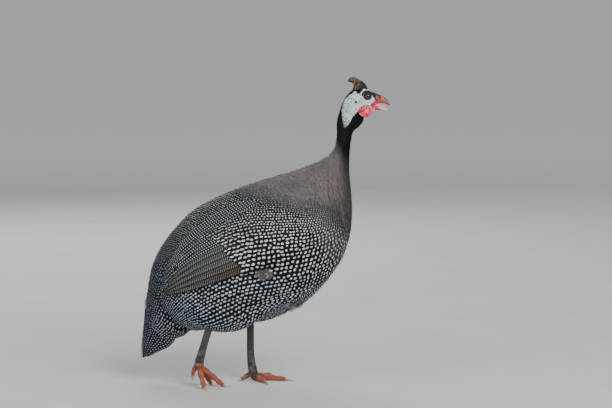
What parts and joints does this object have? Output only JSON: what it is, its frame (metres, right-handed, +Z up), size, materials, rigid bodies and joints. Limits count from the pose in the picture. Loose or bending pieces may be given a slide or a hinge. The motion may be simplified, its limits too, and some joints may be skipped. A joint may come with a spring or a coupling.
{
  "type": "guinea fowl",
  "caption": "Life-size still model of a spotted guinea fowl walking on the floor, head raised, with folded wings, hanging tail, helmet, wattles and open bill.",
  "frame": {"origin": "on the floor, under the middle of the bird's length and width", "axes": "+X the way the bird faces, +Y its left side, +Z up"},
  "size_m": [0.3752, 0.1666, 0.4612],
  "materials": {
    "spotted": "near-black feathers with rows of small white spots",
    "lilac": "plain grey-lilac feathers of the neck and collar",
    "white_skin": "bare bluish-white skin with black edges",
    "red_skin": "bare red skin, finely wrinkled",
    "helmet_horn": "brown horn, satin",
    "bill_horn": "red horn with a pale tip, satin",
    "eye": "dark brown eye, glossy and wet",
    "shank": "dark grey-brown horny plates",
    "toes": "orange-red horny plates",
    "claw": "pale horn, satin"
  },
  "bodies": {
    "root": {"torso": "spotted", "neck": "lilac", "head": "white_skin", "helmet": "helmet_horn", "bill_upper": "bill_horn", "bill_lower": "bill_horn", "tail": "spotted", "wattle_left": "red_skin", "eye_left": "eye", "wing_left": "spotted", "thigh_left": "spotted", "shank_left": "shank", "foot_left": "toes", "claw_left_middle": "claw", "claw_left_inner": "claw", "claw_left_outer": "claw", "claw_left_hind": "claw", "wattle_right": "red_skin", "eye_right": "eye", "wing_right": "spotted", "thigh_right": "spotted", "shank_right": "shank", "foot_right": "toes", "claw_right_middle": "claw", "claw_right_inner": "claw", "claw_right_outer": "claw", "claw_right_hind": "claw"}
  },
  "joints": []
}
